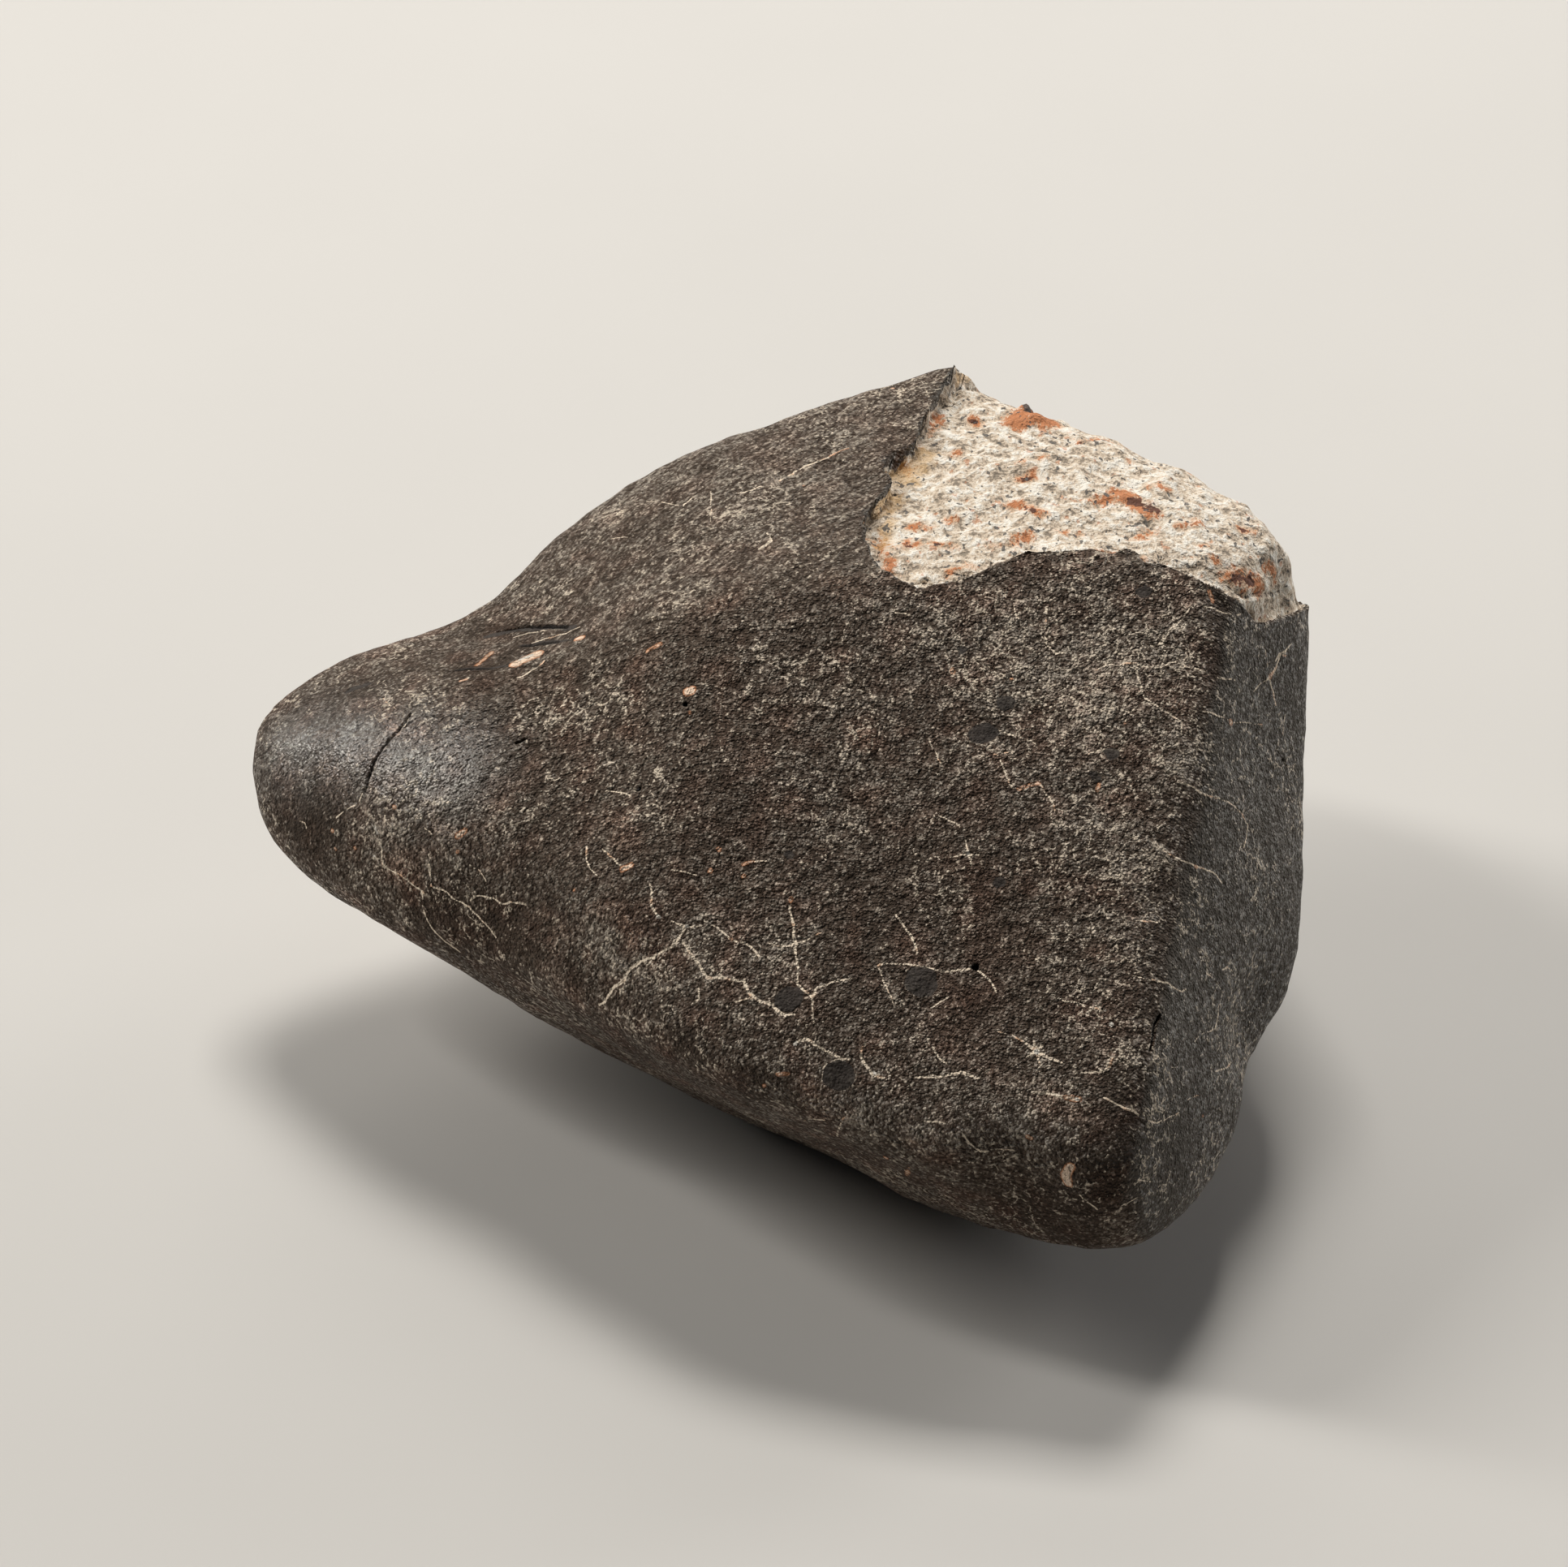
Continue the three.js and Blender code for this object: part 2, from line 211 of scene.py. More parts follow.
# Smooth dark blobs and lenses:
DARK = [
    (0.56, (1206, 905), (1216, 902)), (0.44, (1370, 928)), (0.36, (1349, 956)),
    (0.38, (1407, 730), (1413, 728)), (0.30, (1186, 801)), (0.50, (1239, 867)),
    (0.16, (1379, 887)), (0.30, (972, 1054)), (0.36, (1231, 1088)), (0.70, (972, 1231)),
    (0.85, (1135, 1210)), (0.80, (1034, 1326)), (0.22, (427, 852), (440, 846), (456, 840)),
    (0.26, (600, 784), (650, 774), (708, 772)), (0.20, (560, 824), (610, 822), (628, 819)),
    (0.18, (640, 796), (690, 790), (722, 784)),
]

# Small holes and dark cracks, which are sunk too and painted black as the shade inside them:
HOLES = [
    (0.20, (786, 970)), (0.24, (1202, 1190)), (0.11, (635, 917), (648, 909)), (0.12, (1274, 849)),
    (0.11, (1133, 951)), (0.08, (1581, 935), (1587, 945)), (0.20, (844, 868)),
    (0.07, (1513, 1250), (1514, 1266)),
    (0.11, (506, 880), (494, 894), (474, 920), (460, 940), (449, 974)),
    (0.12, (612, 779), (650, 772), (700, 771)), (0.09, (640, 797), (690, 791)),
    (0.10, (560, 825), (606, 823)), (0.05, (1547, 784), (1554, 794), (1563, 806)),
    (0.10, (1416, 1296), (1420, 1284), (1424, 1262), (1431, 1250)),
]

# Rust on the broken corner:
RUST = [
    (0.85, (1256, 520), (1268, 510), (1286, 520)), (0.25, (1200, 516), (1202, 522)),
    (0.22, (1176, 560)), (0.30, (1260, 590), (1268, 588)), (0.14, (1258, 572)),
    (0.18, (1284, 567)), (0.28, (1355, 538), (1375, 542)), (0.24, (1330, 544)),
    (0.50, (1378, 608), (1394, 618), (1420, 634)), (0.28, (1350, 618), (1362, 618)),
    (0.26, (1246, 620), (1262, 626), (1284, 634)), (0.34, (1250, 670), (1264, 662)),
    (0.16, (1222, 672)), (0.18, (1310, 654)), (0.16, (1332, 658)),
    (0.22, (1402, 662), (1418, 656)), (0.18, (1456, 648), (1472, 648)), (0.18, (1484, 670)),
    (0.22, (1530, 650), (1538, 654)), (0.48, (1516, 708), (1532, 712), (1552, 722)),
    (0.24, (1411, 690)), (0.10, (1348, 679), (1370, 680)), (0.26, (1118, 670), (1128, 670)),
    (0.18, (1152, 669), (1170, 672)), (0.20, (1122, 648), (1142, 650)), (0.20, (1172, 640)),
    (0.24, (1086, 664), (1094, 688), (1100, 702)), (0.35, (1112, 572), (1122, 580)),
    (0.22, (1150, 528), (1158, 512)), (0.18, (1172, 702), (1192, 696)),
    (0.20, (1560, 700), (1572, 706)), (0.16, (1416, 598), (1440, 606)), (0.16, (1498, 690)),
    (0.30, (1202, 457), (1212, 476)),
]

# The dark brown middles of that rust:
RUST_HEART = [
    (0.20, (1258, 498), (1266, 506), (1278, 516)), (0.12, (1200, 519)),
    (0.18, (1261, 590), (1267, 589)), (0.30, (1396, 618), (1412, 624), (1424, 632)),
    (0.12, (1262, 626), (1272, 631)), (0.14, (1256, 668)), (0.30, (1522, 710), (1544, 718)),
    (0.14, (1120, 671)), (0.10, (1156, 671)), (0.10, (1466, 648)), (0.13, (1534, 652)),
    (0.12, (1411, 689)), (0.12, (1332, 544)),
]

# Yellow-brown stain on its left edge:
STAIN = [
    (0.80, (1084, 628), (1098, 618)), (0.70, (1120, 592), (1108, 578)),
    (0.30, (1100, 640), (1092, 652), (1088, 672)), (0.50, (1176, 470), (1196, 456)),
    (0.60, (1140, 560), (1130, 580)),
]

# Grey-black flecks in it, and two deep cracks:
FLECKS = [
    (0.34, (1262, 508), (1272, 513)), (0.07, (1268, 555), (1280, 557), (1293, 561)),
    (0.07, (1164, 600), (1180, 602)), (0.10, (1246, 570), (1254, 571)),
    (0.08, (1340, 592), (1350, 596)), (0.10, (1396, 646), (1410, 642), (1420, 650)),
    (0.09, (1388, 660), (1400, 655)), (0.08, (1270, 650), (1282, 652)),
    (0.09, (1456, 614), (1462, 622), (1468, 634)), (0.08, (1484, 612), (1492, 622), (1500, 628)),
    (0.08, (1098, 612), (1096, 628), (1090, 646)),
]

# Where the crust ends on the side that the photograph shows, from the crest down the left of the
# break and along its foot to the right end:
BROKEN_EDGE = [
    (1208, 452), (1198, 454), (1187, 455), (1179, 458), (1176, 464), (1172, 470), (1166, 474),
    (1167, 480), (1174, 484), (1177, 490), (1175, 497), (1166, 499), (1158, 505), (1157, 515),
    (1155, 522), (1149, 528), (1140, 526), (1134, 530), (1132, 540), (1131, 550), (1128, 558),
    (1125, 566), (1115, 566), (1106, 569), (1097, 575), (1105, 580), (1110, 586), (1110, 594),
    (1108, 602), (1105, 608), (1097, 609), (1088, 615), (1080, 622), (1075, 630), (1072, 638),
    (1063, 642), (1059, 648), (1068, 652), (1076, 657), (1080, 664), (1082, 674), (1080, 682),
    (1083, 692), (1086, 702), (1094, 706), (1104, 710), (1112, 715), (1122, 719), (1134, 718),
    (1142, 716), (1152, 719), (1159, 716), (1162, 711), (1169, 706), (1177, 704), (1185, 707),
    (1194, 708), (1200, 703), (1210, 699), (1218, 697), (1221, 690), (1229, 687), (1238, 685),
    (1246, 689), (1254, 688), (1260, 684), (1262, 678), (1269, 675), (1276, 677), (1282, 682),
    (1290, 685), (1298, 681), (1306, 677), (1314, 679), (1322, 676), (1329, 675), (1336, 677),
    (1342, 682), (1350, 682), (1358, 679), (1368, 681), (1378, 679), (1386, 677), (1396, 676),
    (1403, 679), (1406, 685), (1406, 693), (1409, 699), (1415, 697), (1421, 693), (1429, 690),
    (1438, 692), (1444, 697), (1450, 703), (1458, 701), (1465, 703), (1472, 709), (1480, 711),
    (1488, 711), (1496, 714), (1504, 718), (1512, 719), (1518, 724), (1525, 730), (1533, 733),
    (1541, 735), (1549, 732), (1557, 729), (1565, 730), (1573, 727), (1581, 728), (1588, 733),
    (1594, 740), (1604, 742),
]
# That edge, closed past the stone's outline to a loop round the break:
BROKEN_LOOP = BROKEN_EDGE + [(1700, 742), (1700, 380), (1208, 380)]

# Areas with soft edges: the radius in mm and the strength, then points in pixels. A paler crust,
# partly its own tone and partly painted light on the shoulder beside the nose, on low bumps of the
# front and on top of the right-hand side:
PALE_AND_LIT_AREAS = [
    (1.1, 0.9, (470, 1030), (490, 1060), (530, 1070), (560, 1050)),
    (0.9, 0.9, (612, 1050), (618, 1075)),
    (1.4, 1.0, (735, 1150), (765, 1185)),
    (0.8, 0.7, (690, 1215), (700, 1150)),
    (1.3, 0.7, (1030, 1345), (1060, 1370)),
    (1.4, 0.7, (1150, 1395), (1200, 1400), (1260, 1385), (1300, 1360)),
    (1.0, 0.5, (1170, 1455)),
    (1.3, 1.0, (1455, 905), (1460, 945)),
    (1.6, 0.5, (1340, 1000), (1370, 960), (1390, 1050)),
    (4.5, 0.45, (1280, 800), (1380, 830), (1330, 900)),
    (2.0, 0.4, (740, 650), (780, 620)),
    (1.0, 0.6, (940, 665)),
    (3.5, 0.35, (870, 620), (980, 570), (1040, 520)),
    (2.2, 0.35, (880, 1180), (960, 1190)),
    (2.0, 0.35, (1560, 800), (1570, 880)),
]
# A darker one, partly its own tone and partly painted shade along the edge to the right-hand side,
# in the hollow beside the nose and on the low front corner:
DARK_AND_SHADED_AREAS = [
    (1.8, 1.1, (545, 1120), (580, 1150), (625, 1150)),
    (0.8, 1.4, (590, 778), (625, 774), (660, 772), (695, 776), (575, 822), (605, 820)),
    (0.8, 1.4, (640, 796), (1510, 745), (1508, 775), (1506, 805), (1503, 835), (1500, 865)),
    (0.8, 1.4, (1496, 895), (1492, 925), (1487, 955), (1482, 985), (1477, 1015), (1472, 1045)),
    (0.8, 1.4, (1466, 1075), (1461, 1105)),
    (0.8, 1.3, (1455, 1135), (1448, 1165), (1442, 1195), (1435, 1225), (1428, 1255)),
    (2.4, 1.2, (1400, 1370), (1440, 1400), (1400, 1440), (1350, 1470)),
    (1.6, 1.2, (1290, 1500), (1260, 1490), (1330, 1520)),
    (3.5, 0.35, (700, 900), (680, 1010), (900, 900)),
    (3.0, 0.30, (1100, 1130), (1170, 1080), (1210, 1200)),
    (1.2, 0.8, (850, 1295), (920, 1335), (780, 1290)),
    (1.8, 0.9, (400, 865), (440, 862), (385, 1020), (350, 1000)),
    (1.6, 1.0, (615, 1150), (1440, 1435), (1450, 1460)),
]
# A dense net of fine pale threads:
NET_AREAS = [
    (5.0, 1.0, (1230, 800), (1330, 850), (1420, 800)),
    (3.0, 1.0, (1350, 1000), (1400, 1080), (1450, 930)),
    (2.2, 0.8, (1390, 1180), (1330, 1240)),
    (2.0, 0.6, (880, 1170), (960, 1180), (980, 1280), (1100, 1330)),
    (1.5, 0.6, (500, 1090), (560, 1100), (620, 1110), (740, 1170)),
    (2.5, 0.5, (1200, 1400), (1300, 1350)),
]
# Brown-red mottles:
RED_AREAS = [
    (1.6, 0.9, (1440, 1450), (1470, 1420), (1400, 1480)),
    (2.0, 0.6, (1230, 1150), (1170, 1250)),
    (1.3, 0.6, (545, 1120), (575, 1145)),
    (1.0, 0.5, (530, 850), (560, 860)),
    (1.5, 0.5, (1000, 620), (1060, 560), (930, 690)),
]

# A glossier skin, also painted paler and greyer as a highlight:
GLOSS_AND_HIGHLIGHT_AREAS = [(3.0, 1.0, (370, 915), (430, 915), (490, 925), (550, 940))]

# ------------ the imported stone

# Every line from the heart leaves the stone once.
HEART = Vector((1.08, -1.01, 14.0)) * MM

# A crease sharper than this parts the crust, the floor of the break, and the wall between them.
CREASE = math.radians(32)
# A creased face further than this from the floor of the break is crust.
WALL_REACH = 1.5 * MM
# Corners nearer than this to each other are one.
WELD = 0.001 * MM
CRUST, FLOOR, WALL = 0, 1, 2
TO_THE_NOSE = Vector((-1, 0, 0.3))
TO_THE_BREAK = Vector((0.4, 0.45, 0.8))

# The crust's broken edge is kept as points this far apart, on the stone and in the photograph.
POINT_STEP = 0.05 * MM
EDGE_PIXELS = 1.2
SEEN_WITHIN = 0.12 * MM

# The break lies within this reach of its middle.
BREAK_PLACE = Vector((16, 15, 24)) * MM
BREAK_REACH = 22 * MM

# The break goes over the crest, out of the camera's sight, at this pixel and so far round it.
CREST = (1189, 473)
CREST_REACH = 2.5 * MM


def points_along(places, step):
    """Points along a line of places, about a step apart."""
    points = []
    for start, end in zip(places, places[1:]):
        count = max(1, math.ceil((end - start).length / step))
        points += [start.lerp(end, i / count) for i in range(count)]
    return points + [places[-1]]


# Where each part of steady_vector reads the noise.
STEADY_PLACES = [Vector((9.3, -1.5, -8.0)), Vector((3.7, 6.1, -4.4)), Vector((-6.2, 2.9, 7.3))]


def steady_vector(place):
    """A vector of noise that is the same on every run. Blender's own one follows the clock."""
    return Vector([noise.noise(place + shift) for shift in STEADY_PLACES])


def as_line(pixels):
    return [Vector((x, y, 0)) for x, y in pixels]


def pixel_of(place):
    """The pixel of the photograph that shows this place."""
    seen = CAMERA_TURN.transposed() @ (place - CAMERA_PLACE)
    scale = -FOCAL_PIXELS / seen.z
    return PHOTO_WIDTH / 2 + seen.x * scale, PHOTO_HEIGHT / 2 - seen.y * scale


def inside_loop(pixel, loop):
    """Whether a pixel lies inside a closed loop of pixels."""
    x, y = pixel
    inside = False
    for (x1, y1), (x2, y2) in zip(loop, loop[1:] + loop[:1]):
        if (y1 > y) != (y2 > y) and x < x1 + (y - y1) * (x2 - x1) / (y2 - y1):
            inside = not inside
    return inside


def tree_of(points):
    tree = KDTree(len(points))
    for index, point in enumerate(points):
        tree.insert(point, index)
    tree.balance()
    return tree


class PackedStone:
    """The stone's solid, with a zone for each face and the crust's broken edge as points."""

    def __init__(self, node):
        self.mesh = bmesh.new()
        self.mesh.from_mesh(node.data)
        bmesh.ops.remove_doubles(self.mesh, verts=self.mesh.verts, dist=WELD)
        bmesh.ops.triangulate(self.mesh, faces=self.mesh.faces)
        self.mesh.normal_update()
        self.mesh.faces.ensure_lookup_table()
        self.tree = BVHTree.FromBMesh(self.mesh)
        self.zones = [WALL] * len(self.mesh.faces)
        self.flood(TO_THE_NOSE, CRUST)
        self.flood(TO_THE_BREAK, FLOOR)
        self.forget_far_walls()
        self.crest = self.seen_at(*CREST)
        traced = [self.seen_at(p.x, p.y) for p in points_along(as_line(BROKEN_EDGE), EDGE_PIXELS)]
        traced = [place for place in traced if place]
        hidden = [place for place in self.broken_edge() if not self.seen(place)]
        self.edge_tree = tree_of(traced + hidden)

    def flood(self, direction, zone):
        """Gives the zone to the face that lies this way and to all that join it uncreased."""
        _, _, first, _ = self.tree.ray_cast(HEART, direction)
        waiting = [self.mesh.faces[first]]
        while waiting:
            face = waiting.pop()
            if self.zones[face.index] == zone:
                continue
            self.zones[face.index] = zone
            for edge in face.edges:
                if edge.calc_face_angle(0) < CREASE:
                    waiting += [f for f in edge.link_faces if self.zones[f.index] == WALL]

    def forget_far_walls(self):
        """A creased face that lies away from the break's floor is crust."""
        floor_faces = [f for f in self.mesh.faces if self.zones[f.index] == FLOOR]
        floor = tree_of([v.co for f in floor_faces for v in f.verts])
        for face in self.mesh.faces:
            away = min(floor.find(v.co)[2] for v in face.verts)
            if self.zones[face.index] == WALL and away > WALL_REACH:
                self.zones[face.index] = CRUST

    def broken_edge(self):
        """Points along the edges between the crust and what is not crust."""
        points = []
        for edge in self.mesh.edges:
            crust = [self.zones[f.index] == CRUST for f in edge.link_faces]
            if any(crust) and not all(crust):
                points += points_along([v.co.copy() for v in edge.verts], POINT_STEP)
        return points

    def seen_at(self, x, y):
        """The place on the stone behind a pixel of the photograph."""
        place, _, _, _ = self.tree.ray_cast(CAMERA_PLACE, sight_line(x, y))
        return place

    def seen(self, place):
        """Whether nothing stands between the camera and this place on the stone."""
        first, _, _, _ = self.tree.ray_cast(CAMERA_PLACE, place - CAMERA_PLACE)
        return first is not None and (first - place).length < SEEN_WITHIN

    def zone_at(self, place, face):
        """The zone of a place: as traced where the camera sees it and at the crest, and with the
        solid's own wall and floor. Elsewhere it is as the creases part it."""
        at_crest = (place - self.crest).length < CREST_REACH
        if (place - BREAK_PLACE).length > BREAK_REACH or not (at_crest or self.seen(place)):
            return self.zones[face]
        if self.zones[face] != CRUST or inside_loop(pixel_of(place), BROKEN_LOOP):
            return FLOOR
        return CRUST


# ------------ marks, as distances

MARK_STEP = 3
MARK_WANDER = 2.2
MARK_WAVES = 9
MARKS_ASKED = 3
FAR = 2 * MM


class Marks:
    """Marks of one kind as points on the stone, each with half the mark's width there."""

    def __init__(self, marks, packed, wander=0.0):
        self.points = []
        self.widths = []
        for half_width, *pixels in marks:
            for point in points_along(as_line(pixels), MARK_STEP):
                shift = steady_vector(point / MARK_WAVES) * wander
                place = packed.seen_at(point.x + shift.x, point.y + shift.y)
                if place:
                    self.points.append(place)
                    self.widths.append(half_width * MM)
        self.tree = tree_of(self.points)

    def depth_at(self, place):
        """How far inside the nearest mark a place lies, below zero outside."""
        near = self.tree.find_n(place, MARKS_ASKED)
        return max(-FAR, max(self.widths[index] - distance for _, index, distance in near))


# ------------ the fine mesh

# A ball of 20 x 4^4 triangles, each cut in 16, is wrapped round the stone and then cut finer, until
# its edges are about this long.
BALL_ROUNDS = 5
BALL_CUTS = 3
BALL_SHAPE = Vector((28, 27, 15)) * MM
CRUST_STEP = 0.50 * MM
BREAK_STEP = 0.24 * MM
EDGE_STEP = 0.13 * MM
EDGE_BAND = 0.35 * MM
MARK_BAND = 0.12 * MM
REFINE_ROUNDS = 3
TOO_LONG = 1.35
FINE_KINDS = {
    "vein": 0.11 * MM,
    "hole": 0.12 * MM,
    "white": 0.14 * MM,
    "fleck": 0.14 * MM,
    "orange": 0.17 * MM,
    "heart": 0.20 * MM,
}


class FineStone:
    """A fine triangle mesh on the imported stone's surface."""

    def __init__(self, packed, kinds):
        self.packed = packed
        self.kinds = kinds
        self.mesh = bmesh.new()
        bmesh.ops.create_icosphere(self.mesh, subdivisions=BALL_ROUNDS, radius=1)
        bmesh.ops.subdivide_edges(
            self.mesh, edges=self.mesh.edges, cuts=BALL_CUTS, use_grid_fill=True
        )
        for vert in self.mesh.verts:
            vert.co = HEART + vert.co * BALL_SHAPE
        self.wrap()
        for _ in range(REFINE_ROUNDS):
            self.refine()
            self.wrap()

    def wrap(self):
        """Moves each corner in line with the heart on to the stone and notes its zone."""
        zones = []
        for vert in self.mesh.verts:
            place, _, face, _ = self.packed.tree.ray_cast(HEART, vert.co - HEART)
            vert.co = place
            zones.append(self.packed.zone_at(place, face))
        self.zones = np.array(zones)

    def steps(self):
        """The edge length that is wanted at each corner."""
        wanted = np.where(self.zones == CRUST, CRUST_STEP, BREAK_STEP)
        for index, vert in enumerate(self.mesh.verts):
            if self.packed.edge_tree.find(vert.co)[2] < EDGE_BAND:
                wanted[index] = EDGE_STEP
            for kind, step in self.kinds:
                if step < wanted[index] and kind.depth_at(vert.co) > -MARK_BAND:
                    wanted[index] = step
        return wanted

    def refine(self):
        """Cuts in two each edge that is longer than is wanted at either end."""
        wanted = self.steps()
        self.mesh.verts.index_update()
        too_long = [
            edge
            for edge in self.mesh.edges
            if edge.calc_length() > TOO_LONG * min(wanted[v.index] for v in edge.verts)
        ]
        bmesh.ops.subdivide_edges(self.mesh, edges=too_long, cuts=1, use_grid_fill=True)
        wide = [face for face in self.mesh.faces if len(face.verts) > 3]
        bmesh.ops.triangulate(self.mesh, faces=wide)
        self.drop_folds()

    def drop_folds(self):
        """Takes away the few pairs of triangles on the same three corners that cutting leaves."""
        by_corners = {}
        for face in self.mesh.faces:
            by_corners.setdefault(frozenset(face.verts), []).append(face)
        folds = [face for faces in by_corners.values() if len(faces) > 1 for face in faces]
        bmesh.ops.delete(self.mesh, geom=folds, context="FACES")


# ------------ relief

# How far the solid's flat faces are smoothed: the square of a length, taken in small steps.
SMOOTH_AREA = 0.12 * MM**2
SMOOTH_STEP = 0.002 * MM**2
MOST_OF_THE_WAY = 0.6
SHORTEST = 0.01 * MM

# The crust's broken edge wanders a little, its lip is beaded, and the inside drops away behind it.
EDGE_WANDER = 0.24 * MM
EDGE_WANDER_LENGTH = 1.2 * MM
EDGE_REACH = 1.0 * MM
LIP_HEIGHT = 0.14 * MM
LIP_WIDTH = 0.45 * MM
BEAD_LENGTH = 0.55 * MM
GROOVE_DEPTH = 0.16 * MM
GROOVE_WIDTH = 0.30 * MM

# Each layer of relief: the length of its waves and its height each way.
CRUST_LAYERS = [(5.0 * MM, 0.08 * MM), (1.9 * MM, 0.08 * MM), (0.9 * MM, 0.06 * MM)]
BREAK_LAYERS = [(3.2 * MM, 0.22 * MM), (1.3 * MM, 0.24 * MM), (0.62 * MM, 0.15 * MM)]
HOLE_DEPTH = 0.25 * MM
FLECK_DEPTH = 0.12 * MM

# The lumps of the inside are longer from front to back.
GRAIN_STRETCH = np.array([0.9, 0.6, 1.2])

# Bulges: the pixel of each, its height and its width. A rusty nub at the back of the break, and
# the rounded crest.
BULGES = [
    ((1272, 518), 0.55 * MM, 0.80 * MM),
    ((1264, 509), 0.70 * MM, 0.42 * MM),
    ((1189, 473), 0.60 * MM, 0.90 * MM),
]

RESTING_HEIGHT = 0.02 * MM
SINK_WIDTH = 0.1 * MM
SEED_STEPS = (7.3, 3.1, 5.7)

# The slope behind the ridge is paler than the front, and so is the right-hand side, which is paler
# and greyer as a painted sheen.
BACK_TONE = 0.20
SIDE_SHEEN_TONE = 0.15


def noise_at(points, length, seed):
    """Smooth noise from about -1 to 1 at each point, with waves of this length."""
    shift = Vector([seed * step for step in SEED_STEPS])
    return np.array([noise.noise(Vector(point) / length + shift) for point in points])


def wander_at(points, length, seed):
    """Like noise_at, but three numbers at each point."""
    shift = Vector([seed * step for step in SEED_STEPS])
    return np.array([steady_vector(Vector(point) / length + shift) for point in points])


def corner_normals(points, triangles):
    a, b, c = (points[triangles[:, i]] for i in range(3))
    across = np.cross(b - a, c - a)
    total = np.zeros_like(points)
    for i in range(3):
        for axis in range(3):
            total[:, axis] += np.bincount(triangles[:, i], across[:, axis], len(points))
    return total / np.maximum(np.linalg.norm(total, axis=1, keepdims=True), 1e-30)


def smoothed(points, edges, zones):
    """Spreads each corner towards its neighbours in its zone. At a zone's rim, only along it."""
    start, end = np.concatenate([edges, edges[:, ::-1]]).T
    rim = np.zeros(len(points), bool)
    rim[start[zones[start] != zones[end]]] = True
    kept = (zones[start] == zones[end]) & (~rim[start] | rim[end])
    start, end = start[kept], end[kept]
    length = np.maximum(np.linalg.norm(points[start] - points[end], axis=1), SHORTEST)
    around = np.maximum(np.bincount(start, length, len(points)), 1e-9)
    closeness = np.maximum(np.bincount(start, 1 / length, len(points)), 1e-9)
    share = np.minimum(2 * SMOOTH_STEP / around, MOST_OF_THE_WAY / closeness)
    for _ in range(round(SMOOTH_AREA / SMOOTH_STEP)):
        pull = (points[end] - points[start]) / length[:, None]
        moved = [np.bincount(start, pull[:, axis], len(points)) for axis in range(3)]
        points = points + np.stack(moved, axis=1) * share[:, None]
    return points


def edge_depths(packed, points, zones):
    """How far each corner lies from the crust's broken edge, below zero on the crust."""
    away = np.array([packed.edge_tree.find(point)[2] for point in points])
    return np.where(zones == CRUST, -away, away)


def lay_relief(packed, points, triangles, depth, hole, fleck):
    """Moves the corners sideways along the broken edge and then in and out for the relief."""
    resting = points[:, 2] < RESTING_HEIGHT
    normals = corner_normals(points, triangles)
    near = np.exp(-((depth / EDGE_REACH) ** 2))
    shift = wander_at(points, EDGE_WANDER_LENGTH, 1) * (EDGE_WANDER * near)[:, None]
    shift -= normals * (shift * normals).sum(axis=1, keepdims=True)
    points = points + shift

    on_crust = depth < 0
    height = np.zeros(len(points))
    for seed, (length, size) in enumerate(CRUST_LAYERS):
        height += on_crust * size * noise_at(points, length, seed + 2)
    fade = np.clip(depth / EDGE_BAND, 0, 1)
    for seed, (length, size) in enumerate(BREAK_LAYERS):
        height += fade * size * noise_at(points * GRAIN_STRETCH, length, seed + 6)
    beads = 0.6 + 0.7 * noise_at(points, BEAD_LENGTH, 11)
    height += LIP_HEIGHT * beads * on_crust * np.exp(-((depth / LIP_WIDTH) ** 2))
    height -= GROOVE_DEPTH * ~on_crust * np.exp(-((depth / GROOVE_WIDTH) ** 2))
    height -= HOLE_DEPTH * np.clip(hole / SINK_WIDTH + 0.5, 0, 1)
    height -= FLECK_DEPTH * np.clip(fleck / SINK_WIDTH + 0.5, 0, 1)
    for pixel, size, width in BULGES:
        away = np.linalg.norm(points - np.array(packed.seen_at(*pixel)), axis=1)
        height += size * np.exp(-((away / width) ** 2))

    points = points + normals * (height * ~resting)[:, None]
    points[:, 2] = np.maximum(points[:, 2], 0)
    return points


def area_at(packed, points, areas):
    """How strongly each point lies in these areas: fully in the middle, 0 far away."""
    most = np.zeros(len(points))
    for radius, strength, *pixels in areas:
        for place in filter(None, (packed.seen_at(x, y) for x, y in pixels)):
            away = np.linalg.norm(points - np.array(place), axis=1)
            most = np.maximum(most, strength * np.exp(-((away / (radius * MM)) ** 2)))
    return most


def ease(values, low, high):
    """0 where a value is under low, 1 over high, and smooth between. Low may be the higher."""
    share = np.clip((values - low) / (high - low), 0, 1)
    return share * share * (3 - 2 * share)


